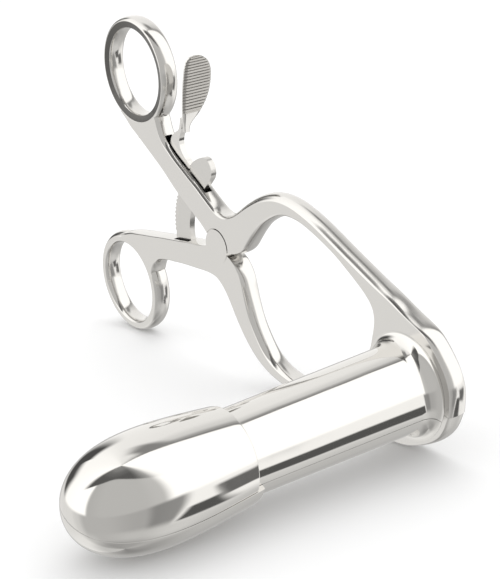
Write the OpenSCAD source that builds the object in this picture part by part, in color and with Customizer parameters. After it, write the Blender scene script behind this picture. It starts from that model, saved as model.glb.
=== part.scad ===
/* [Handle] */
// Thickness of both levers, front face to back face (mm)
lever_t = 6.2; // [5.4:0.1:7.4]
// Distance from the main pivot to the centre of the flange (mm)
reach = 89.7; // [88.5:0.1:92]
// Angle by which the lever pair is turned nose down to rest on the lower ring (deg)
rest_tilt = 14.6; // [10:0.1:20]
// Radius of the ring centre line (mm)
ring_r = 15.9; // [14.5:0.1:17]
// Radial thickness of the finger rings (mm)
ring_w = 3.8; // [3:0.1:4.6]

/* [Blades] */
// Shaft radius of the closed tube at the flange (mm)
shaft_r1 = 12.9; // [12:0.1:13.4]
// Shaft radius of the closed tube at the step (mm)
shaft_r2 = 12.1; // [11:0.1:12.6]
// Length of the shaft, flange face to step (mm)
shaft_len = 61; // [45:1:75]
// Radius of the bulb at the step (mm)
bulb_r = 13.7; // [13:0.1:14.6]
// Length of the bulb, step to tip (mm)
bulb_len = 48.5; // [36:0.5:56]
// Wall thickness of the blades (mm)
wall = 1.5; // [1.2:0.1:2]
// Angle of the seam between the blades against the line of the levers (deg)
seam_turn = -9; // [-12:1:0]

/* [Joint] */
// Radius of the lapped round boss at the main pivot (mm)
boss_r = 5.6; // [5.2:0.1:6]
// Diameter of the main pivot (mm)
pivot_d = 4; // [3.4:0.1:4.4]

/* [Ratchet] */
// Thickness of the ratchet bar and of the release lever body (mm)
bar_t = 2; // [1.6:0.1:2.2]
// Spacing of the ratchet teeth along the arc (mm)
tooth_pitch = 1.5; // [1.2:0.1:1.8]
// Depth of the ratchet teeth (mm)
tooth_h = 0.5; // [0.3:0.05:0.6]
// Width of the thumb pad (mm)
pad_w = 10.5; // [9:0.1:11.5]

/* [Hidden] */
mid = lever_t / 2;
gap = 0.4;               // side play of bar and release lever in the upper slot
proud = 0.1;             // height of the boss above the levers' front faces
slot_t = bar_t + 2 * gap;
play = 0.04;              // clearance of a blade in the other lever's half of the bore
flange_r = 18.7;
bar_ri = 17.5;           // inner radius of the bar about the main pivot
bar_ro = 25.9;           // outer (toothed) radius of the bar
ring_u = [-50.6, 39.8];  // upper ring centre, levers' own frame
ring_l = [-48.5, 38.45]; // lower ring centre, mirrored
rel_p = [-27.6, 15.8];   // release lever pivot
bar_p = [-18.7, -11.0];  // ratchet bar pin
steel = [0.80, 0.79, 0.77];
steel_dark = [0.62, 0.61, 0.59];
steel_warm = [0.86, 0.85, 0.82];

// ---------- placing ----------
// levers' own frame: origin at the main pivot, x from pivot to flange, z across, y = 0 front face
module seat() translate([0, proud, 0]) rotate([0, rest_tilt, 0]) children();
// plane drawing (x, z) given a thickness from y0 to y1
module slab(y0, y1) translate([0, y1, 0]) rotate([90, 0, 0]) linear_extrude(height = y1 - y0) children();
// body of revolution whose axis runs along y through (x, z); profile given as [radius, y]
module turned(c) translate([c[0], 0, c[1]]) rotate([-90, 0, 0]) rotate_extrude($fn = 96) children();
module rod(c, r, y0, y1, n = 64) translate([c[0], y1, c[1]]) rotate([90, 0, 0]) cylinder(r = r, h = y1 - y0, $fn = n);

// ---------- curves ----------
// smooth run through hand-set points [x, z, edge roundness]
function cr(a, b, c, d, t) = 0.5 * ((2 * b) + (c - a) * t + (2 * a - 5 * b + 4 * c - d) * t * t + (3 * b - a - 3 * c + d) * t * t * t);
function run(p, n) = concat([for (i = [0 : len(p) - 2]) for (k = [0 : n - 1])
    cr(p[max(i - 1, 0)], p[i], p[i + 1], p[min(i + 2, len(p) - 1)], k / n)], [p[len(p) - 1]]);
function xy(p) = [for (q = p) [q[0], q[1]]];
// unit vector square to a rail, s = 1 for the outer and -1 for the inner one
function side(p, i, s) = let (a = p[max(i - 1, 0)], b = p[min(i + 1, len(p) - 1)],
    d = [b[0] - a[0], b[1] - a[1]], l = norm(d)) [s * d[1] / l, -s * d[0] / l];
// levels through the thickness, and the share of the roundness taken off at each
lv = [-1, -0.92, -0.72, -0.4, 0.4, 0.72, 0.92, 1];
function cut(l) = 1 - sqrt(1 - l * l * 0.98);
function pull(p, i, s, l) = let (m = side(p, i, s)) [p[i][0] - m[0] * p[i][2] * cut(l), mid + mid * l, p[i][1] - m[1] * p[i][2] * cut(l)];
// plate with convex edges between an outer and an inner rail of the same length
module soft_plate(o, q) {
    n = len(o); m = len(lv); w = 2 * m;
    pts = [for (i = [0 : n - 1]) each concat(
        [for (k = [0 : m - 1]) pull(o, i, 1, lv[k])], [for (k = [m - 1 : -1 : 0]) pull(q, i, -1, lv[k])])];
    faces = [for (i = [0 : n - 2]) for (j = [0 : w - 1]) let (t = (j + 1) % w)
        each [[i * w + j, (i + 1) * w + t, i * w + t], [i * w + j, (i + 1) * w + j, (i + 1) * w + t]]];
    polyhedron(points = pts, faces = concat([for (j = [1 : w - 2]) [0, j, j + 1]], faces, [for (j = [1 : w - 2]) [(n - 1) * w, (n - 1) * w + j + 1, (n - 1) * w + j]]), convexity = 10);
}

// outer side of a lever from flange to ring; thick = extra width over the slot, up = upper lever, t = shift of the ring end
rim_u = [[108.1, 0.12, 0.7], [107.7, 5.4, 0.9], [106.5, 9, 1], [104.3, 12.3, 1], [101.3, 15.2, 1], [97.6, 18, 1], [93.6, 20, 1]];
rim_l = [[107.9, 0.12, 0.7], [107, 5.4, 0.9], [105, 9.4, 1], [102, 12.7, 1], [98.2, 15.8, 1], [94.2, 18.4, 1], [90.4, 20, 1]];
function outer_side(thick, up, t) = concat(up ? rim_u : rim_l, [
    [86, 21.5, 1], [79, 23.3, 1], [73.5, 24.4, 1], [66.5, 25.9, 1], [58.5, 27.6, 1.1], [51, 29.3, 1.4], [45, 30.6, 1.7],
    [39.5, 31.4, 2.1], [34, 31.7, 2.3], [29, 31.2, 2.4], [24.2, 29.8, 2.4], [19.3, 27.1, 2.3], [15, 23.7, 2.1],
    [11, 19.7, 1.8], [7.6, 15.8, 1.4], [5.2, 13.6, 1.2], [3, 12.2, 1.1], [0.5, 11.5, 1.1], [-2, 11.6, 1], [-4.6, 12.1 + thick * 0.2, 1], [-7.5, 12.9 + thick * 0.4, 1],
    [-10.5, 13.8 + thick * 0.6, 1], [-14, 14.8 + thick * 0.9, 1], [-18, 16 + thick, 1], [-22, 17.4 + thick, 1], [-26, 18.8 + thick, 1], [-29, 20.1 + thick, 1],
    [-31.5, 21.6 + thick * 0.9, 1.1], [-33.3 + t[0] * 0.2, 23.6 + thick * 0.7 + t[1] * 0.2, 1.2], [-34.4 + t[0] * 0.4, 25.8 + thick * 0.4 + t[1] * 0.4, 1.3],
    [-35.4 + t[0] * 0.7, 28.2 + t[1] * 0.7, 1.2], [-37.2 + t[0], 30.6 + t[1], 1], [-39.5 + t[0], 32.6 + t[1], 0.6], [-43 + t[0], 34.5 + t[1], 0]]);
// inner side from flange to ring; relief = seat of the leaf spring
function inner_side(relief, t) = [
    [73.7, 0.12, 0.5], [73.7, 1.6, 0.6], [73.7, 4.5, 0.7], [73.8, 7.5, 0.8], [73.9, 10.5, 0.8], [73.7, 13, 0.8], [73, 15.2, 0.8],
    [71.6, 17, 0.8], [69.2, 18.6, 0.8], [66.2, 20, 0.8], [61, 22, 0.8], [54.5, 24.2, 0.8], [48, 25.5, 0.9], [42, 26.3, 1.1],
    [38, 26.4, 1.3], [34.3, 26, 1.5], [30.6, 25, 1.6], [27.2, 23.1, 1.6], [23.8, 20.2, 1.6], [20.8, 17, 1.6],
    [18.2, 13, 1.5], [16, 9, 1.3], [14.2, 5.6, 1.1], [12, 3.1, 0.8], [8.6, 1.2, 0.3], [4.6, 0.4, 0.1], [1, 0.35, 0.1], [-2.6, 0.5, 0.1],
    [-5, 1.8, 0.2], [-8.6, 3.7, 0.3], [-14, 5.6, 0.4], [-19, 7.4, 0.4], [-23.5, 9.1, 0.4], [-27.5, 10.6 + relief * 0.5, 0.4],
    [-31.5, 12.1 + relief, 0.4], [-36.5, 14.1 + relief, 0.4], [-41.5, 16 + relief, 0.4], [-46 + t[0] * 0.1, 17.8 + relief * 0.8 + t[1] * 0.1, 0.5],
    [-50 + t[0] * 0.4, 19.4 + relief * 0.2 + t[1] * 0.4, 0.7], [-53 + t[0] * 0.8, 21 + t[1] * 0.8, 0.8], [-56 + t[0], 22.9 + t[1], 0.1]];

// ---------- finger ring; e = half width of its flat front and back ----------
function bulge(y, e) = e + (ring_w / 2 - e) * sqrt(max(0, 1 - pow((y - mid) / mid, 2)));
yl = [for (k = [0 : 8]) mid - mid * cos(k * 22.5)];
module ring_disc(c, e) turned(c) polygon(concat([[0, 0]], [for (y = yl) [ring_r + bulge(y, e), y]], [[0, lever_t]]));
module ring_hole(c) turned(c) polygon(concat([[0, -1], [ring_r - bulge(0, 0.9), -1]], [for (y = yl) [ring_r - bulge(y, 0.9), y]], [[ring_r - bulge(0, 0.9), lever_t + 1], [0, lever_t + 1]]));

// ---------- lever, own side z > 0; front_lap true where the boss is the front layer ----------
module lever(front_lap, thick, relief, c, e) {
    t = [c[0] + 50, c[1] - 39.2];
    difference() {
        union() {
            soft_plate(run(outer_side(thick, !front_lap, t), 2), run(inner_side(relief, t), 2));
            ring_disc(c, e);
        }
        ring_hole(c);
        // the other lever's boss
        if (front_lap) rod([0, 0], boss_r + 0.35, mid - 0.02, lever_t + 1);
        else rod([0, 0], boss_r + 0.35, -1, mid + 0.02);
        // bore for the blade tube
        rod([reach, 0], shaft_r1 + play, -1, lever_t + 1, 96);
    }
}

module lower_lever() color(steel) seat() difference() {
    union() {
        mirror([0, 0, 1]) lever(true, 0, 0, ring_l, 0.3);
        rod([0, 0], boss_r, -proud, mid - 0.05);
    }
    // slot for the ratchet bar, open to the front of it
    slab(0.9, mid + bar_t / 2 + 0.25) difference() {
        polygon([[-15, 0], [-27.5, 0], [-27.5, -20], [-12, -20]]);
        circle(r = bar_ri - 0.05, $fn = 128);
        difference() {
            translate([-40, -30]) square([40, 40]);
            circle(r = bar_ro + 0.05, $fn = 128);
        }
    }
    rod(bar_p, 1, mid, lever_t + 1, 32);
    // tapped hole of the pivot, closed at the front
    rod([0, 0], pivot_d / 2, 0.9, lever_t + 1);
}

module upper_lever() color(steel) seat() difference() {
    union() {
        lever(false, 1.2, 0.9, ring_u, 0.7);
        rod([0, 0], boss_r, mid + 0.05, lever_t);
    }
    // slot for bar and release lever, its end struck from the pivot
    slab(mid - slot_t / 2, mid + slot_t / 2) difference() {
        polygon([[-5.5, 20], [-32.3, 29], [-34.6, 14], [-33.6, 8], [-17, 2], [-8.5, 4]]);
        circle(r = bar_ri - 0.3, $fn = 128);
    }
    rod(rel_p, 1, 0.8, lever_t + 1, 32);
    // running bore and head recess of the pivot screw
    rod([0, 0], pivot_d / 2 + 0.05, -1, lever_t + 1);
    rod([0, 0], 3.5, lever_t - 1.4, lever_t + 1);
    // seat of the spring screw
    translate([-47.5, mid, 17]) rotate([0, -20, 0]) cylinder(r = 0.9, h = 6, $fn = 32);
}

// ---------- blades ----------
function swell(s) = bulb_r * (1 + 0.398 * s - 0.038 * s * s) * sqrt(1 - pow(s, 3.5));
bs = [for (k = [0 : 26]) sin(k * 90 / 26)];
flare = [for (k = [0 : 5]) [shaft_r1 + 2.6 * (1 - sin(k * 18)), -3.6 * (1 - cos(k * 18))]];
skin = concat([[shaft_r1, lever_t - 0.2], [shaft_r1, -play], [shaft_r1 + 2.6, -play]], [for (f = flare) [f[0], f[1] - 0.1]],
    [[shaft_r2, -shaft_len], [bulb_r - 0.35, -shaft_len], [bulb_r, -shaft_len - 0.35]],
    [for (s = bs) if (s > 0.05) [max(0, swell(s)), -shaft_len - bulb_len * s]]);
bore_tip = bulb_len - wall * 1.4;
core = concat([[shaft_r1 - wall, lever_t + 1], [shaft_r2 - wall, -shaft_len - wall], [bulb_r - wall, -shaft_len - wall * 1.6]],
    [for (s = bs) if (s > 0.1) [max(0, (swell(s) - wall) * sqrt(1 - pow(s, 6))), -shaft_len - bore_tip * s]]);
module tube() difference() {
    turned([reach, 0]) polygon(concat([[0, lever_t - 0.2]], skin));
    turned([reach, 0]) polygon(concat([[0, lever_t + 1]], core));
}
// seat of a blade in its own lever's half of the bore, s = 1 for the upper and -1 for the lower one
module collar(s) intersection() {
    turned([reach, 0]) polygon([[shaft_r1 - wall * 0.8, 0.2], [shaft_r1 + play * 2, 0.2], [shaft_r1 + play * 2, lever_t - 0.2], [shaft_r1 - wall * 0.8, lever_t - 0.2]]);
    translate([reach - 40, -1, s > 0 ? 0.5 : -40.5]) cube([80, 20, 40]);
}
module upper_blade() color(steel_warm) seat() intersection() {
    union() {
        tube();
        collar(1);
    }
    translate([reach, 0, 0]) rotate([0, -seam_turn, 0]) translate([-40, -150, 0.08]) cube([80, 170, 40]);
}
module lower_blade() color(steel_warm) seat() intersection() {
    union() {
        tube();
        collar(-1);
    }
    translate([reach, 0, 0]) rotate([0, -seam_turn, 0]) translate([-40, -150, -40.08]) cube([80, 170, 40]);
}

// ---------- pivot screw, slotted head at the back ----------
module pivot_screw() color(steel_dark) seat() difference() {
    union() {
        rod([0, 0], pivot_d / 2, 1, lever_t - 0.7);
        rod([0, 0], 3.3, lever_t - 1.35, lever_t - 0.1);
    }
    translate([-4, lever_t - 0.75, -0.45]) cube([8, 2, 0.9]);
}

// ---------- ratchet bar ----------
a0 = 137;                                   // first tooth
tooth_a = tooth_pitch / bar_ro * 180 / PI;  // tooth spacing as an angle
tooth_n = floor(62 / tooth_a);
function at(r, a) = [r * cos(a), r * sin(a)];
bar_end = 213;
bar_outline = concat(
    [for (k = [0 : 12]) at(bar_ri, bar_end - (bar_end - 133) * k / 12)],
    [[-10.6, 15.4], [-9.3, 17.6], [-8, 20], [-7.9, 22.2], [-8.9, 24.2], [-10.6, 25.2], [-12.6, 25.2], [-15.2, 23.7], [-17.6, 21.6], [-18.8, 20]],
    [for (k = [0 : tooth_n - 1]) each [at(bar_ro, a0 + tooth_a * (k + 0.05)), at(bar_ro, a0 + tooth_a * (k + 0.3)), at(bar_ro - tooth_h, a0 + tooth_a * (k + 0.55)), at(bar_ro - tooth_h, a0 + tooth_a * (k + 0.7))]],
    [for (a = [a0 + tooth_a * tooth_n + 1 : 4 : bar_end]) at(bar_ro, a)]);
module ratchet_bar() color(steel) seat() difference() {
    slab(mid - bar_t / 2, mid + bar_t / 2) polygon(bar_outline);
    rod(bar_p, 1, -1, lever_t + 1, 32);
}
module ratchet_bar_pin() color(steel_dark) seat() rod(bar_p, 1, mid - bar_t / 2 + 0.1, lever_t - 0.5, 32);

// ---------- release lever ----------
rel_outline = concat(
    // back of the body, from the neck down to the tail
    xy(run([[-25.95, 33.4], [-26, 31], [-26.5, 29], [-28.6, 26.9], [-30, 24.9], [-30.6, 21.4], [-31.2, 17.4], [-32.4, 15.1]], 3)),
    [[-32.6, 14.7], [-31.6, 13.8], [-29.4, 13.2]],
    // underside, up to the nose
    xy(run([[-27.2, 12.9], [-24.9, 13.9], [-24.2, 16], [-22.6, 17.4], [-20.5, 18.2]], 3)),
    [[-19.5, 18.2], [-18.9, 18.9], [-19.2, 19.6]],
    // front of the body, up the neck
    xy(run([[-20.6, 20.2], [-22.8, 21.2], [-24.7, 22.9], [-25.6, 24.9], [-25.6, 26.8], [-25.1, 28.8], [-24.8, 31], [-24.6, 33.4]], 3)));
pad_y0 = mid - bar_t / 2;    // front edge of the pad, flush with the body
pad_z0 = 35.9;
pad_n = 19;
function pad_x(z) = -25.3 + 0.0075 * pow(z - 44, 2);
// outline of the pad as [y, z]
pad_edge = xy(run([[0, 31, 0], [0, 42, 0], [0, 50.5, 0], [0.25, 52.9, 0], [1.2, 54.1, 0], [3.1, 54.6, 0], [5.3, 54.3, 0], [7.5, 53, 0], [9.1, 51.2, 0], [10.1, 49, 0],
    [10.5, 46.5, 0], [10.5, 43.8, 0], [9.9, 40.4, 0], [8.3, 37.1, 0], [6.1, 34.6, 0], [3.4, 32.4, 0], [2.3, 30.8, 0], [2, 29.5, 0], [0.9, 29.3, 0]], 2));
pz = [for (k = [0 : 20]) 29 + 26.5 * k / 20];
module release_lever() color(steel) seat() {
    difference() {
        union() {
            slab(mid - bar_t / 2, mid + bar_t / 2) polygon(rel_outline);
            // thumb pad: outline seen from the flange side, curved leaf seen from the front
            intersection() {
                translate([-32, 0, 0]) rotate([90, 0, 90]) linear_extrude(height = 20) polygon([for (q = pad_edge) [pad_y0 + q[0] * pad_w / 10.5, q[1]]]);
                slab(-4, lever_t + 12) polygon(concat(
                    [for (z = pz) [pad_x(z) + 0.8, z]],
                    [for (k = [20 : -1 : 0]) [pad_x(pz[k]) - 0.8, pz[k]]]));
            }
        }
        rod(rel_p, 1.05, -1, lever_t + 1, 32);
        // grip ridges across the pad
        for (k = [0 : pad_n - 1]) let (z = pad_z0 + k * 1.0)
            translate([pad_x(z) + 1.02, 16, z]) rotate([90, 45, 0]) translate([-0.25, -0.25, 0]) cube([0.5, 0.5, 16]);
    }
}
module release_lever_pin() color(steel_dark) seat() rod(rel_p, 1, 0.8, lever_t - 0.1, 32);

// ---------- leaf spring and its screw ----------
sp_a = -21;
module leaf_spring() color(steel_warm) seat() difference() {
    slab(mid - 2, mid + 2) polygon(concat(
        xy(run([[-51, 19.4], [-47.5, 18.1], [-44, 16.8], [-38, 14.5], [-32, 12.1], [-29.6, 11.4], [-28.6, 11.7]], 3)),
        xy(run([[-28.6, 12.2], [-29.6, 12], [-32, 12.8], [-38, 15.15], [-44, 17.5], [-47.5, 18.75], [-51, 20]], 3))));
    translate([-47.5, mid, 15]) rotate([0, sp_a, 0]) cylinder(r = 0.95, h = 6, $fn = 32);
}
module spring_screw() color(steel_dark) seat() translate([-47.5, mid, 18.1]) rotate([0, sp_a, 0]) difference() {
    union() {
        cylinder(r = 0.85, h = 4.4, $fn = 32);
        translate([0, 0, -0.9]) cylinder(r = 1.6, h = 0.9, $fn = 48);
    }
    translate([-2, -0.2, -1]) cube([4, 0.4, 0.5]);
}

lower_lever();
upper_lever();
lower_blade();
upper_blade();
pivot_screw();
ratchet_bar();
ratchet_bar_pin();
release_lever();
release_lever_pin();
leaf_spring();
spring_screw();
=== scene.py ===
import math

import bmesh
import bpy
import numpy as np
from mathutils import Matrix, Vector


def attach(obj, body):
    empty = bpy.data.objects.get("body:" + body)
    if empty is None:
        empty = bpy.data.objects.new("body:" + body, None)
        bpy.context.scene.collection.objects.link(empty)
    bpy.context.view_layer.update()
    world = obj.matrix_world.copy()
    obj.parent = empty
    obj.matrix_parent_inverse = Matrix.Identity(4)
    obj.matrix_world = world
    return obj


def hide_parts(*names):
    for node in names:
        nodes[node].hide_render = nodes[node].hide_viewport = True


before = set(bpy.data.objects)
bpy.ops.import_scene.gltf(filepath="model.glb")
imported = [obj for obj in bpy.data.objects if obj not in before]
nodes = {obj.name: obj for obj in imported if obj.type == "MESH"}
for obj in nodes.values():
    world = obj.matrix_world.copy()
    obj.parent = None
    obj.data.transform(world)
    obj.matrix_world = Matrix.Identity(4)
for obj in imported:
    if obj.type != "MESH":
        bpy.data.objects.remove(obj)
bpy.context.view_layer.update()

# ---------------------------------------------------------------- dimensions, millimetres, levers' own frame
# u from the main pivot to the flange, v across, y from the front face to the back face
TILT = math.radians(14.6)
LEVER_T = 6.2
MID = LEVER_T / 2
REACH = 89.7
RING_R, RING_W = 15.9, 3.8
R1, R2, SHAFT = 12.9, 12.1, 61.0
BULB_R, BULB_L = 13.7, 48.5
WALL = 1.5
SEAM = math.radians(-9.0)
BOSS_R = 5.6
PIVOT_D = 4.0
BAR_T = 2.0
SLOT_T = 2.8
PROUD = 0.1
PLAY = 0.04
BAR_RI, BAR_RO = 17.5, 25.9
RING_U = (-50.6, 39.8)
RING_L = (-48.5, 38.45)
REL_P = (-27.6, 15.8)
BAR_P = (-18.7, -11.0)
PLACE = Matrix.Translation((0, PROUD * 0.001, 0)) @ Matrix.Rotation(TILT, 4, "Y") @ Matrix.Scale(0.001, 4)


def place(u, v, y):
    return PLACE @ Vector((u, y, v))


# ---------------------------------------------------------------- mesh helpers
def new_object(name, verts, faces):
    mesh = bpy.data.meshes.new(name)
    mesh.from_pydata([tuple(map(float, p)) for p in verts], [], faces)
    bm = bmesh.new()
    bm.from_mesh(mesh)
    bmesh.ops.remove_doubles(bm, verts=bm.verts, dist=1e-5)
    bmesh.ops.dissolve_degenerate(bm, dist=1e-6, edges=bm.edges)
    bmesh.ops.recalc_face_normals(bm, faces=bm.faces)
    bm.to_mesh(mesh)
    bm.free()
    o = bpy.data.objects.new(name, mesh)
    bpy.context.scene.collection.objects.link(o)
    return o


def apply_modifiers(o):
    dg = bpy.context.evaluated_depsgraph_get()
    mesh = bpy.data.meshes.new_from_object(o.evaluated_get(dg))
    o.modifiers.clear()
    old = o.data
    o.data = mesh
    bpy.data.meshes.remove(old)


def boolean(o, other, kind):
    m = o.modifiers.new("b", "BOOLEAN")
    m.object = other
    m.operation = kind
    m.solver = "MANIFOLD"
    apply_modifiers(o)
    bpy.data.objects.remove(other)
    return o


def prism(name, outline, y0, y1):
    """Plane drawing in (u, v) given a thickness."""
    n = len(outline)
    verts = [(u, y0, v) for u, v in outline] + [(u, y1, v) for u, v in outline]
    faces = [[i, (i + 1) % n, n + (i + 1) % n, n + i] for i in range(n)]
    faces += [list(range(n - 1, -1, -1)), list(range(n, 2 * n))]
    return new_object(name, verts, faces)


def disc(c, r, y0, y1, n=128):
    return prism("t", [(c[0] + r * math.cos(2 * math.pi * k / n), c[1] + r * math.sin(2 * math.pi * k / n)) for k in range(n)], y0, y1)


def revolve(name, c, loop, a0=0.0, a1=2 * math.pi, n=192, shift=(0, 0)):
    """Closed profile loop of (radius, y) swept about the y axis through c. A part turn gets flat end faces."""
    full = abs(a1 - a0 - 2 * math.pi) < 1e-9
    steps = n if full else n + 1
    m = len(loop)
    verts, faces = [], []
    for i in range(steps):
        a = a0 + (a1 - a0) * i / n
        for r, y in loop:
            verts.append((c[0] + r * math.cos(a) + shift[0], y, c[1] + r * math.sin(a) + shift[1]))
    for i in range(n):
        for j in range(m):
            p, q = i * m, ((i + 1) % steps) * m
            faces.append([p + j, p + (j + 1) % m, q + (j + 1) % m, q + j])
    if not full:
        faces.append(list(range(m)))
        faces.append(list(range(n * m, n * m + m))[::-1])
    return new_object(name, verts, faces)


def spline(points, n, soften=0):
    """Smooth run through given points, sampled n times between each two."""
    p = np.array(points, float)
    out = []
    for i in range(len(p) - 1):
        a, b, c, d = p[max(i - 1, 0)], p[i], p[i + 1], p[min(i + 2, len(p) - 1)]
        for k in range(n):
            t = k / n
            out.append(0.5 * (2 * b + (c - a) * t + (2 * a - 5 * b + 4 * c - d) * t * t + (3 * b - a - 3 * c + d) * t ** 3))
    out.append(p[-1])
    out = np.array(out)
    for _ in range(soften):
        out[1:-1] = 0.25 * out[:-2] + 0.5 * out[1:-1] + 0.25 * out[2:]
    return out


# ---------------------------------------------------------------- levers
RIM_U = [(108.1, 0.12, 0.7), (107.7, 5.4, 0.9), (106.5, 9, 1), (104.3, 12.3, 1), (101.3, 15.2, 1), (97.6, 18, 1), (93.6, 20, 1)]
RIM_L = [(107.9, 0.12, 0.7), (107, 5.4, 0.9), (105, 9.4, 1), (102, 12.7, 1), (98.2, 15.8, 1), (94.2, 18.4, 1), (90.4, 20, 1)]


def outer_side(thick, up, t):
    a, b = t
    return (RIM_U if up else RIM_L) + [
        (86, 21.5, 1.2), (79, 23.3, 1.5), (73.5, 24.4, 1.8), (66.5, 25.9, 2), (58.5, 27.6, 2), (51, 29.3, 2), (45, 30.6, 2.1),
        (39.5, 31.4, 2.2), (34, 31.7, 2.3), (29, 31.2, 2.4), (24.2, 29.8, 2.4), (19.3, 27.1, 2.3), (15, 23.7, 2.1),
        (11, 19.7, 1.8), (7.6, 15.8, 1.4), (5.2, 13.6, 1.2), (3, 12.2, 1.1), (0.5, 11.5, 1.1), (-2, 11.6, 1), (-4.6, 12.1 + thick * 0.2, 1), (-7.5, 12.9 + thick * 0.4, 1),
        (-10.5, 13.8 + thick * 0.6, 1), (-14, 14.8 + thick * 0.9, 1), (-18, 16 + thick, 1), (-22, 17.4 + thick, 1), (-26, 18.8 + thick, 1), (-29, 20.1 + thick, 1),
        (-31.5, 21.6 + thick * 0.9, 1.1), (-33.3 + a * 0.2, 23.6 + thick * 0.7 + b * 0.2, 1.2), (-34.4 + a * 0.4, 25.8 + thick * 0.4 + b * 0.4, 1.3),
        (-35.4 + a * 0.7, 28.2 + b * 0.7, 1.2), (-37.2 + a, 30.6 + b, 1), (-39.5 + a, 32.6 + b, 0.6), (-43 + a, 34.5 + b, 0.1)]


def inner_side(relief, t):
    a, b = t
    return [
        (73.7, 0.12, 0.5), (73.7, 1.6, 0.6), (73.7, 4.5, 0.7), (73.8, 7.5, 0.8), (73.9, 10.5, 0.8), (73.7, 13, 0.8), (73, 15.2, 0.8),
        (71.6, 17, 0.8), (69.2, 18.6, 0.8), (66.2, 20, 0.8), (61, 22, 0.8), (54.5, 24.2, 0.8), (48, 25.5, 0.9), (42, 26.3, 1.1),
        (38, 26.4, 1.3), (34.3, 26, 1.5), (30.6, 25, 1.6), (27.2, 23.1, 1.6), (23.8, 20.2, 1.6), (20.8, 17, 1.6),
        (18.2, 13, 1.5), (16, 9, 1.3), (14.2, 5.6, 1.1), (12, 3.1, 0.8), (8.6, 1.2, 0.3), (4.6, 0.4, 0.1), (1, 0.35, 0.1), (-2.6, 0.5, 0.1),
        (-5, 1.8, 0.2), (-8.6, 3.7, 0.3), (-14, 5.6, 0.4), (-19, 7.4, 0.4), (-23.5, 9.1, 0.4), (-27.5, 10.6 + relief * 0.5, 0.4),
        (-31.5, 12.1 + relief, 0.4), (-36.5, 14.1 + relief, 0.4), (-41.5, 16 + relief, 0.4), (-46 + a * 0.1, 17.8 + relief * 0.8 + b * 0.1, 0.5),
        (-50 + a * 0.4, 19.4 + relief * 0.2 + b * 0.4, 0.7), (-53 + a * 0.8, 21 + b * 0.8, 0.8), (-56 + a, 22.9 + b, 0.1)]


LEVELS = [math.sin(math.pi / 2 * k / 9) for k in range(-9, 10)]


def plate(outer, inner):
    """Plate between an outer and an inner rail, with convex sides and flat faces."""
    o, q = spline(outer, 6, 3), spline(inner, 6, 3)
    n, m = len(o), len(LEVELS)

    def rail(p, sign):
        d = np.gradient(p[:, :2], axis=0)
        d /= np.linalg.norm(d, axis=1)[:, None]
        out = sign * np.stack([d[:, 1], -d[:, 0]], 1)
        pts = []
        for lev in LEVELS:
            cut = 1 - math.sqrt(max(0.0, 1 - lev * lev * 0.985))
            xy = p[:, :2] - out * (p[:, 2] * cut)[:, None]
            pts.append(np.stack([xy[:, 0], np.full(n, MID + MID * lev), xy[:, 1]], 1))
        return pts
    a, b = rail(o, 1), rail(q, -1)
    loops = a + b[::-1]
    w = 2 * m
    verts = [loops[j][i] for i in range(n) for j in range(w)]
    faces = [[i * w + j, i * w + (j + 1) % w, (i + 1) * w + (j + 1) % w, (i + 1) * w + j] for i in range(n - 1) for j in range(w)]
    faces += [list(range(w)), list(range((n - 1) * w, n * w))[::-1]]
    return new_object("lever", verts, faces)


def ring_bulge(y, e):
    return e + (RING_W / 2 - e) * math.sqrt(max(0.0, 1 - ((y - MID) / MID) ** 2))


RING_Y = [MID - MID * math.cos(math.pi * k / 22) for k in range(23)]


def lever(front_lap, thick, relief, c, e):
    t = (c[0] + 50, c[1] - 39.2)
    o = plate(outer_side(thick, not front_lap, t), inner_side(relief, t))
    outer = [(RING_R - 0.4, 0)] + [(RING_R + ring_bulge(y, e), y) for y in RING_Y] + [(RING_R - 0.4, LEVER_T)]
    solid = revolve("t", c, [(0.5, 0.0)] + outer + [(0.5, LEVER_T)], n=192)
    boolean(o, solid, "UNION")
    rim = RING_R - ring_bulge(0, 0.9)
    hole = [(0.2, -1.0), (rim, -1.0)] + [(RING_R - ring_bulge(y, 0.9), y) for y in RING_Y] + [(rim, LEVER_T + 1), (0.2, LEVER_T + 1)]
    boolean(o, revolve("t", c, hole, n=192), "DIFFERENCE")
    boolean(o, disc(c, 5, -2, LEVER_T + 2), "DIFFERENCE")
    if front_lap:
        boolean(o, disc((0, 0), BOSS_R + 0.35, MID - 0.02, LEVER_T + 1), "DIFFERENCE")
    else:
        boolean(o, disc((0, 0), BOSS_R + 0.35, -1, MID + 0.02), "DIFFERENCE")
    boolean(o, disc((REACH, 0), R1 + PLAY, -1, LEVER_T + 1, 192), "DIFFERENCE")
    return o


def mirror_v(o):
    o.data.transform(Matrix.Scale(-1, 4, Vector((0, 0, 1))))
    o.data.flip_normals()


def sector(r, a0, a1, n=24):
    return [(r * math.cos(math.radians(a0 + (a1 - a0) * k / n)), r * math.sin(math.radians(a0 + (a1 - a0) * k / n))) for k in range(n + 1)]


def lower_lever():
    o = lever(True, 0, 0, RING_L, 0.3)
    mirror_v(o)
    boolean(o, disc((0, 0), BOSS_R, -PROUD, MID - 0.05), "UNION")
    slot = sector(BAR_RI - 0.05, 180, 222) + sector(BAR_RO + 0.05, 222, 180)
    boolean(o, prism("t", slot, 0.9, MID + BAR_T / 2 + 0.25), "DIFFERENCE")
    boolean(o, disc(BAR_P, 1, MID, LEVER_T + 1, 48), "DIFFERENCE")
    boolean(o, disc((0, 0), PIVOT_D / 2, 0.9, LEVER_T + 1, 64), "DIFFERENCE")
    o.name = "lower_lever_body"
    return o


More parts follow.
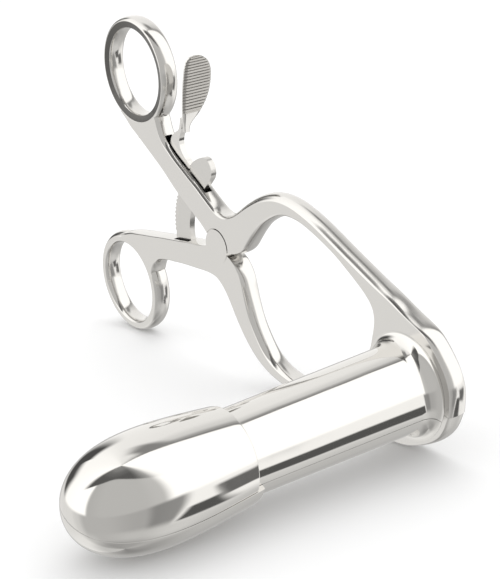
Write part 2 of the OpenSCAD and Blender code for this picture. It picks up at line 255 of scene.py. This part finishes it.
def upper_lever():
    o = lever(False, 1.2, 0.9, RING_U, 0.7)
    boolean(o, disc((0, 0), BOSS_R, MID + 0.05, LEVER_T), "UNION")
    slot = [(-5.5, 20), (-32.3, 29), (-34.6, 14), (-33.6, 8), (-17.2, 2)] + sector(BAR_RI - 0.3, 166, 108)
    boolean(o, prism("t", slot, MID - SLOT_T / 2, MID + SLOT_T / 2), "DIFFERENCE")
    boolean(o, disc(REL_P, 1, 0.8, LEVER_T + 1, 48), "DIFFERENCE")
    boolean(o, disc((0, 0), PIVOT_D / 2 + 0.05, -1, LEVER_T + 1, 64), "DIFFERENCE")
    boolean(o, disc((0, 0), 3.5, LEVER_T - 1.4, LEVER_T + 1, 96), "DIFFERENCE")
    # softly dished rim round the front of the ring
    boolean(o, revolve("t", RING_U, [(14.2, -0.6), (16.5, -0.6), (16.5, 0.0), (14.2, 0.55)], n=192), "DIFFERENCE")
    o.name = "upper_lever_body"
    return o


# ---------------------------------------------------------------- blades
def swell(s):
    return BULB_R * (1 + 0.398 * s - 0.038 * s * s) * math.sqrt(max(0.0, 1 - s ** 3.5))


def blade(name, upper):
    step = SHAFT if upper else SHAFT - 2.0
    length = SHAFT + BULB_L - step
    fillet = [(R1 + 3.1 * (1 - math.sin(t)), -PLAY - 5.0 * (1 - math.cos(t))) for t in [math.pi / 2 * k / 14 for k in range(15)]]
    skin = [(R1, LEVER_T - 0.2), (R1, -PLAY)] + fillet
    skin += [(R1 + (R2 - R1) * k / 12, -5 - PLAY + (5 + PLAY - step + 0.5) * k / 12) for k in range(1, 13)]
    skin += [(R2 + 0.05, -step + 0.2), (R2 + 0.25, -step)]
    lip = 0.45
    skin += [(BULB_R - lip + lip * math.sin(t), -step - lip + lip * math.cos(t)) for t in [math.pi / 2 * k / 6 for k in range(7)]]
    shares = [math.sin(math.pi / 2 * k / 72) for k in range(73)]
    skin += [(swell(s), -step - length * s) for s in shares if s * length > 0.9 and s < 1] + [(0.0, -step - length)]
    deep = length - WALL * 1.4
    core = [(R1 - WALL, LEVER_T - 0.2), (R2 - WALL, -step - WALL), (BULB_R - WALL, -step - WALL * 1.6)]
    core += [((swell(s) - WALL) * math.sqrt(max(0.0, 1 - s ** 6)), -step - deep * s) for s in shares if s > 0.1 and s < 1] + [(0.0, -step - deep)]
    loop = skin + core[::-1]
    a0 = SEAM if upper else SEAM - math.pi
    k = 0.07 if upper else -0.07
    return revolve(name, (REACH, 0), loop, a0, a0 + math.pi, 120, (-math.sin(SEAM) * k, math.cos(SEAM) * k))


# ---------------------------------------------------------------- ratchet bar
def ratchet_bar():
    a0, pitch = 137.0, math.degrees(1.5 / BAR_RO)
    teeth = []
    for k in range(int(62 / pitch)):
        for da, dr in ((0.05, 0), (0.3, 0), (0.55, 0.5), (0.7, 0.5)):
            a = math.radians(a0 + pitch * (k + da))
            teeth.append(((BAR_RO - dr) * math.cos(a), (BAR_RO - dr) * math.sin(a)))
    tab = spline([(-12.0, 12.9, 0), (-10.6, 15.4, 0), (-9.3, 17.6, 0), (-8, 20, 0), (-7.9, 22.2, 0), (-8.9, 24.2, 0), (-10.6, 25.2, 0), (-12.6, 25.2, 0), (-15.2, 23.7, 0), (-17.6, 21.6, 0), (-18.8, 20, 0)], 4)
    outline = sector(BAR_RI, 213, 134, 32) + [(p[0], p[1]) for p in tab] + teeth + sector(BAR_RO, a0 + 63, 213, 6)
    o = prism("ratchet_bar_body", outline, MID - BAR_T / 2, MID + BAR_T / 2)
    return boolean(o, disc(BAR_P, 1, -1, LEVER_T + 1, 48), "DIFFERENCE")


# ---------------------------------------------------------------- release lever
PAD_Y0 = MID - BAR_T / 2
PAD_BACK = [(29.0, 2.0), (30.8, 2.3), (32.4, 3.4), (34.6, 6.1), (37.1, 8.3), (40.4, 9.9), (43.8, 10.5), (46.5, 10.5), (49, 10.1), (51.2, 9.1), (53, 7.5), (54.3, 5.3), (54.62, 3.1)]
PAD_FRONT = [(29.0, 0.0), (50.5, 0.0), (52.9, 0.25), (54.1, 1.2), (54.62, 2.9)]


def pad_x(z):
    return -25.3 + 0.0075 * (z - 44) ** 2


def along(points, z):
    return float(np.interp(z, [p[0] for p in points], [p[1] for p in points]))


def release_lever():
    def run(p):
        return [(q[0], q[1]) for q in spline([(a, b, 0) for a, b in p], 5)]
    outline = run([(-25.95, 33.4), (-26, 31), (-26.5, 29), (-28.6, 26.9), (-30, 24.9), (-30.6, 21.4), (-31.2, 17.4), (-32.4, 15.1)]) + [(-32.6, 14.7), (-31.6, 13.8), (-29.4, 13.2)]
    outline += run([(-27.2, 12.9), (-24.9, 13.9), (-24.2, 16), (-22.6, 17.4), (-20.5, 18.2)]) + [(-19.5, 18.2), (-18.9, 18.9), (-19.2, 19.6)]
    outline += run([(-20.6, 20.2), (-22.8, 21.2), (-24.7, 22.9), (-25.6, 24.9), (-25.6, 26.8), (-25.1, 28.8), (-24.8, 31), (-24.6, 33.4)])
    body = prism("release_lever_body", outline, MID - BAR_T / 2, MID + BAR_T / 2)
    # ridged thumb pad: loops round a thin leaf, from its foot to its rounded top
    back = [(p[0], p[1]) for p in spline([(z, y, 0) for z, y in PAD_BACK], 6)]
    nz, m = 300, 16
    z0, z1 = 29.4, 54.6
    rows = []
    for i in range(nz):
        f = i / (nz - 1)
        z = z0 + (z1 - z0) * (1 - (1 - f) ** 1.12)
        y0, y1 = PAD_Y0 + along(PAD_FRONT, z) + 0.01, PAD_Y0 + along(back, z)
        c, half = (y0 + y1) / 2, max(0.2, (y1 - y0) / 2)
        x = pad_x(z)
        t = 0.8 * min(1.0, 0.3 + (z1 - z) / 1.0)
        k = (z - 35.4) / 1.0
        ridge = 0.34 * (2 * abs(k - math.floor(k) - 0.5)) if 0 < k < 18.9 else 0.0
        row = []
        for j in range(m + 1):
            s = -1 + 2 * j / m
            edge = max(0.0, (abs(s) - 0.8) / 0.2)
            row.append((x + t * (1 - 0.55 * edge ** 2) - ridge * (1 - 0.3 * edge), c + half * s, z))
        for j in range(m + 1):
            s = 1 - 2 * j / m
            edge = max(0.0, (abs(s) - 0.7) / 0.3)
            row.append((x - t * (1 - 0.55 * edge ** 2), c + half * s * 0.995, z))
        rows.append(row)
    w = len(rows[0])
    verts = [p for row in rows for p in row]
    faces = [[i * w + j, i * w + (j + 1) % w, (i + 1) * w + (j + 1) % w, (i + 1) * w + j] for i in range(nz - 1) for j in range(w)]
    faces += [list(range(w)), list(range((nz - 1) * w, nz * w))[::-1]]
    pad = new_object("t", verts, faces)
    boolean(body, pad, "UNION")
    return boolean(body, disc(REL_P, 1.05, -1, LEVER_T + 1, 48), "DIFFERENCE")


# ---------------------------------------------------------------- finish of a modelled piece
def finish_piece(o, body, node, material, bevel=0.0, angle=32, segments=2):
    o.data.transform(PLACE)
    o.data.materials.clear()
    for m in material if isinstance(material, list) else [material]:
        o.data.materials.append(m)
    if bevel:
        b = o.modifiers.new("edge", "BEVEL")
        b.width = bevel * 0.001
        b.segments = segments
        b.limit_method = "ANGLE"
        b.angle_limit = math.radians(angle)
        b.use_clamp_overlap = True
        b.harden_normals = False
        apply_modifiers(o)
    for p in o.data.polygons:
        p.use_smooth = True
    o.data.set_sharp_from_angle(angle=math.radians(angle))
    w = o.modifiers.new("weighted", "WEIGHTED_NORMAL")
    w.mode = "FACE_AREA"
    w.keep_sharp = True
    w.weight = 80
    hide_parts(node)
    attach(o, body)
    return o


# ---------------------------------------------------------------- materials
def steel(name, colour, rough, wave=0.25, wave_scale=70.0, grain=0.02, grain_scale=2500.0, spread=0.03):
    """Polished stainless steel: long shallow waves left by hand polishing, fine haze and faint scratches."""
    m = bpy.data.materials.new(name)
    m.use_nodes = True
    t = m.node_tree
    b = t.nodes["Principled BSDF"]
    b.inputs["Base Color"].default_value = (*colour, 1)
    b.inputs["Metallic"].default_value = 1.0
    co = t.nodes.new("ShaderNodeTexCoord")
    haze = t.nodes.new("ShaderNodeTexNoise")
    haze.inputs["Scale"].default_value = 180.0
    haze.inputs["Detail"].default_value = 4.0
    t.links.new(co.outputs["Object"], haze.inputs["Vector"])
    r = t.nodes.new("ShaderNodeMapRange")
    r.inputs["From Min"].default_value = 0.3
    r.inputs["From Max"].default_value = 0.7
    r.inputs["To Min"].default_value = max(0.0, rough - spread)
    r.inputs["To Max"].default_value = rough + spread
    t.links.new(haze.outputs["Fac"], r.inputs["Value"])
    t.links.new(r.outputs["Result"], b.inputs["Roughness"])
    slow = t.nodes.new("ShaderNodeTexNoise")
    slow.inputs["Scale"].default_value = wave_scale
    slow.inputs["Detail"].default_value = 1.0
    t.links.new(co.outputs["Object"], slow.inputs["Vector"])
    fine = t.nodes.new("ShaderNodeTexNoise")
    fine.inputs["Scale"].default_value = grain_scale
    fine.inputs["Detail"].default_value = 2.0
    stretch = t.nodes.new("ShaderNodeMapping")
    stretch.inputs["Scale"].default_value = (1.0, 0.12, 1.0)
    t.links.new(co.outputs["Object"], stretch.inputs["Vector"])
    t.links.new(stretch.outputs["Vector"], fine.inputs["Vector"])
    b1 = t.nodes.new("ShaderNodeBump")
    b1.inputs["Strength"].default_value = wave
    b1.inputs["Distance"].default_value = 0.0004
    t.links.new(slow.outputs["Fac"], b1.inputs["Height"])
    b2 = t.nodes.new("ShaderNodeBump")
    b2.inputs["Strength"].default_value = grain
    b2.inputs["Distance"].default_value = 0.00002
    t.links.new(fine.outputs["Fac"], b2.inputs["Height"])
    t.links.new(b1.outputs["Normal"], b2.inputs["Normal"])
    t.links.new(b2.outputs["Normal"], b.inputs["Normal"])
    return m


POLISHED = steel("polished_steel", (0.700, 0.690, 0.672), 0.13)
BAR = steel("bar_steel", (0.640, 0.630, 0.612), 0.22)
BLADE = steel("blade_steel", (0.720, 0.710, 0.690), 0.06, wave=0.45, wave_scale=45.0)
# near-black base colour: painted shade for the dark band round the front edge of the upper ring's hole
RING_EDGE_PAINTED_SHADE = steel("ring_edge_painted_shade", (0.11, 0.108, 0.104), 0.22)
SCREW = steel("screw_steel", (0.60, 0.59, 0.57), 0.16)
SPRING = steel("spring_steel", (0.66, 0.65, 0.63), 0.12)
SATIN = steel("satin_steel", (0.40, 0.39, 0.372), 0.3, grain=0.2)

# ---------------------------------------------------------------- the pieces
finish_piece(lower_lever(), "lower", "lower_lever", POLISHED)
up = finish_piece(upper_lever(), "upper", "upper_lever", [POLISHED, RING_EDGE_PAINTED_SHADE])
# the sloped faces of the dished front rim of the upper ring get the painted shade colour
for poly in up.data.polygons:
    q = PLACE.inverted() @ poly.center
    if q.y < 0.58 and 14.2 < math.hypot(q.x - RING_U[0], q.z - RING_U[1]) < 16.5 and -0.99 < poly.normal.y < -0.95:
        poly.material_index = 1
finish_piece(blade("lower_blade_shell", False), "lower", "lower_blade", BLADE, 0.12, 40)
finish_piece(blade("upper_blade_shell", True), "upper", "upper_blade", BLADE, 0.12, 40)
finish_piece(ratchet_bar(), "lower", "ratchet_bar", BAR, 0.12, 30)
rel = finish_piece(release_lever(), "release", "release_lever", [POLISHED, SATIN])
back_of = PLACE.inverted()
for poly in rel.data.polygons:
    q = back_of @ poly.center
    if q.z > 35.6 and q.x > pad_x(q.z) - 0.1 and (back_of.to_3x3() @ poly.normal).x > 0.2:
        poly.material_index = 1

for n, m in (("pivot_screw", SCREW), ("ratchet_bar_pin", SCREW), ("release_lever_pin", SCREW), ("leaf_spring", SPRING), ("spring_screw", SCREW)):
    nodes[n].data.materials.clear()
    nodes[n].data.materials.append(m)

# ---------------------------------------------------------------- floor: through the flange, the lower ring and the bulb
def lowest(name, keep):
    return min((v.co.copy() for v in nodes[name].data.vertices if keep(v.co)), key=lambda v: v.z)


pa = lowest("lower_lever", lambda v: v.x < -0.02)
pb = lowest("lower_lever", lambda v: v.x > 0.06)
pc = lowest("lower_blade", lambda v: v.y < -0.06)
up_dir = (pb - pa).cross(pa - pc).normalized()
up_dir = up_dir if up_dir.z > 0 else -up_dir
bpy.ops.mesh.primitive_plane_add(size=6.0)
floor = bpy.context.object
floor.name = "floor"
floor.matrix_world = Matrix.Translation(pb - up_dir * 0.0001) @ Vector((0, 0, 1)).rotation_difference(up_dir).to_matrix().to_4x4()
fm = bpy.data.materials.new("floor")
fm.use_nodes = True
fb = fm.node_tree.nodes["Principled BSDF"]
fb.inputs["Base Color"].default_value = (0.9, 0.9, 0.9, 1)
fb.inputs["Roughness"].default_value = 0.9
fb.inputs["Specular IOR Level"].default_value = 0.1
floor.data.materials.append(fm)
floor.visible_glossy = False

# ---------------------------------------------------------------- studio: white sky with soft cards, all by direction
world = bpy.data.worlds.new("studio")
bpy.context.scene.world = world
world.use_nodes = True
wt = world.node_tree
wt.nodes.clear()


def node(kind, **sockets):
    n = wt.nodes.new(kind)
    for k, v in sockets.items():
        n.inputs[k].default_value = v
    return n


def link(a, b):
    wt.links.new(a, b)


def math_node(op, a, b=None, clamp=False):
    n = wt.nodes.new("ShaderNodeMath")
    n.operation = op
    n.use_clamp = clamp
    for i, x in enumerate((a, b)):
        if x is None:
            continue
        if isinstance(x, (int, float)):
            n.inputs[i].default_value = x
        else:
            link(x, n.inputs[i])
    return n.outputs[0]


coord = wt.nodes.new("ShaderNodeTexCoord")
sep = wt.nodes.new("ShaderNodeSeparateXYZ")
link(coord.outputs["Generated"], sep.inputs[0])
X, Y, Z = sep.outputs


def ramp(value, stops):
    """Piecewise brightness of a direction value from -1 to 1."""
    f = math_node("MULTIPLY_ADD", value, 0.5)
    f.node.inputs[2].default_value = 0.5
    n = wt.nodes.new("ShaderNodeValToRGB")
    n.color_ramp.interpolation = "EASE"
    el = n.color_ramp.elements
    while len(el) > 1:
        el.remove(el[-1])
    for i, (p, v) in enumerate(stops):
        e = el[0] if i == 0 else el.new((p + 1) / 2)
        e.position = (p + 1) / 2
        e.color = (v, v, v, 1)
    link(f, n.inputs[0])
    return n.outputs[0]


def step_between(value, lo, hi):
    n = node("ShaderNodeMapRange")
    n.interpolation_type = "SMOOTHSTEP"
    n.inputs["From Min"].default_value = lo
    n.inputs["From Max"].default_value = hi
    link(value, n.inputs["Value"])
    return n.outputs["Result"]


DEG = 180 / math.pi
azimuth = math_node("MULTIPLY", math_node("ARCTAN2", Y, X), DEG)      # 0 along +X, 90 along +Y
height = math_node("MULTIPLY", math_node("ARCSINE", Z), DEG)          # degrees above the horizon


def blend(share, a, b):
    """a where share is 0, b where it is 1."""
    n = node("ShaderNodeMix")
    n.data_type = "FLOAT"
    for i, x in ((0, share), (2, a), (3, b)):
        if isinstance(x, (int, float)):
            n.inputs[i].default_value = x
        else:
            link(x, n.inputs[i])
    return n.outputs[0]


def between(value, lo0, lo1, hi0, hi1):
    """1 between lo1 and hi0, soft to 0 outside lo0 and hi1."""
    return math_node("MULTIPLY", step_between(value, lo0, lo1), math_node("SUBTRACT", 1.0, step_between(value, hi0, hi1)))


turned = math_node("DIVIDE", azimuth, 180.0)
# round the horizon: white wall on the left, dim room behind the camera, soft box on the right, pale wall at the back
wall = ramp(turned, [(-1.0, 0.52), (-0.62, 0.58), (-0.515, 0.58), (-0.475, 0.235), (-0.3, 0.25), (0.0, 0.25), (0.09, 0.27), (0.135, 0.58), (0.508, 0.58), (0.53, 0.10), (0.56, 0.18), (0.62, 0.34), (0.72, 0.42), (0.86, 0.44), (1.0, 0.52)])
# dark ceiling edge above the room, following its arch
arch = math_node("SUBTRACT", 66.0, math_node("MULTIPLY", 15.0, math_node("POWER", math_node("ABSOLUTE", math_node("DIVIDE", math_node("ADD", azimuth, 42.0), 50.0)), 2.0)))
over = math_node("MULTIPLY", step_between(math_node("SUBTRACT", height, arch), -1.0, 2.0), between(azimuth, -118, -104, 0, 30))
upper = blend(over, wall, ramp(Z, [(-1.0, 0.05), (0.80, 0.045), (0.93, 0.05), (0.97, 0.07), (1.0, 0.12)]))
# dark strips at the back, low round the corner and high up
back = math_node("MULTIPLY", between(azimuth, 155, 167, 182, 183), between(height, -24, -16, 26, 38))
upper = blend(back, upper, 0.035)
corner = math_node("MULTIPLY", between(azimuth, -182, -181, -168, -150), between(height, -14, -6, 12, 32))
upper = blend(corner, upper, 0.035)
beam = math_node("MULTIPLY", between(azimuth, 94, 99, 122, 160), between(height, 56, 62, 70, 76))
upper = blend(beam, upper, 0.12)
# below the horizon
low_wall = ramp(turned, [(-1.0, 0.36), (-0.72, 0.37), (-0.62, 0.32), (-0.52, 0.235), (-0.3, 0.235), (0.0, 0.20), (0.06, 0.13), (0.145, 0.14), (0.178, 0.48), (0.50, 0.46), (0.58, 0.24), (0.9, 0.22), (1.0, 0.32)])
table = ramp(turned, [(-1.0, 0.40), (-0.7, 0.40), (-0.56, 0.28), (-0.4, 0.24), (0.0, 0.27), (0.25, 0.32), (0.5, 0.25), (0.8, 0.19), (1.0, 0.28)])
table = math_node("MULTIPLY", table, blend(step_between(height, -76, -56), 0.68, 1.0))
low = blend(step_between(height, -50, -36), table, low_wall)
ahead = step_between(Y, 0.595, 0.63)
gap_dark = math_node("MULTIPLY", between(azimuth, 30, 35, 64, 80), between(height, -46, -43, -30, -26))
gap_dark = math_node("MULTIPLY", gap_dark, math_node("SUBTRACT", 1.0, ahead))
low = blend(gap_dark, low, 0.045)
gap_near = math_node("MULTIPLY", math_node("MULTIPLY", ahead, between(azimuth, 25, 30, 58, 70)), between(height, -35, -32, -15, -9))
low = blend(gap_near, low, 0.07)
mixed = blend(step_between(height, -8, -1), low, upper)
strength = math_node("MULTIPLY", mixed, 2.6)
studio = node("ShaderNodeBackground", Color=(1.0, 0.99, 0.97, 1))
link(strength, studio.inputs["Strength"])
plain = node("ShaderNodeBackground", Color=(1, 1, 1, 1), Strength=1.12)
path = wt.nodes.new("ShaderNodeLightPath")
choose = wt.nodes.new("ShaderNodeMixShader")
link(path.outputs["Is Glossy Ray"], choose.inputs[0])
link(plain.outputs[0], choose.inputs[1])
link(studio.outputs[0], choose.inputs[2])
out = wt.nodes.new("ShaderNodeOutputWorld")
link(choose.outputs[0], out.inputs[0])

key = bpy.data.objects.new("key", bpy.data.lights.new("key", "AREA"))
key.data.energy = 1.4
key.data.size = 0.8
key.location = (-0.25, 0.35, 0.75)
key.rotation_mode = "QUATERNION"
key.rotation_quaternion = (Vector((0.05, -0.03, 0)) - key.location).to_track_quat("-Z", "Y")
key.visible_glossy = False
key.visible_camera = False
bpy.context.scene.collection.objects.link(key)

# ---------------------------------------------------------------- camera
th, ph, ro, de = 0.927, 0.449, -0.006, math.radians(14.6 - 7.146)
r = Vector((math.cos(th), math.sin(th), 0))
d = Vector((-math.sin(th) * math.cos(ph), math.cos(th) * math.cos(ph), -math.sin(ph)))
u = r.cross(d)
right_v = math.cos(ro) * r + math.sin(ro) * u
up_v = -math.sin(ro) * r + math.cos(ro) * u
turn = Matrix.Rotation(de, 3, "Y")
right_v, up_v, d = turn @ right_v, turn @ up_v, turn @ d
cam = bpy.data.objects.new("camera", bpy.data.cameras.new("camera"))
cam.data.sensor_width = 36
cam.data.lens = 1600 * 36 / 579
cam.data.shift_x = (250 - 248.9) / 579
cam.data.shift_y = (293.3 - 289.5) / 579
cam.data.clip_start, cam.data.clip_end = 0.01, 20
rot = Matrix((right_v, up_v, -d)).transposed()
cam.matrix_world = Matrix.Translation((0.39852, -0.26857, 0.15540)) @ rot.to_4x4()
bpy.context.scene.collection.objects.link(cam)
bpy.context.scene.camera = cam

scene = bpy.context.scene
scene.view_settings.view_transform = "Standard"
scene.view_settings.look = "None"
scene.view_settings.exposure = 0.0
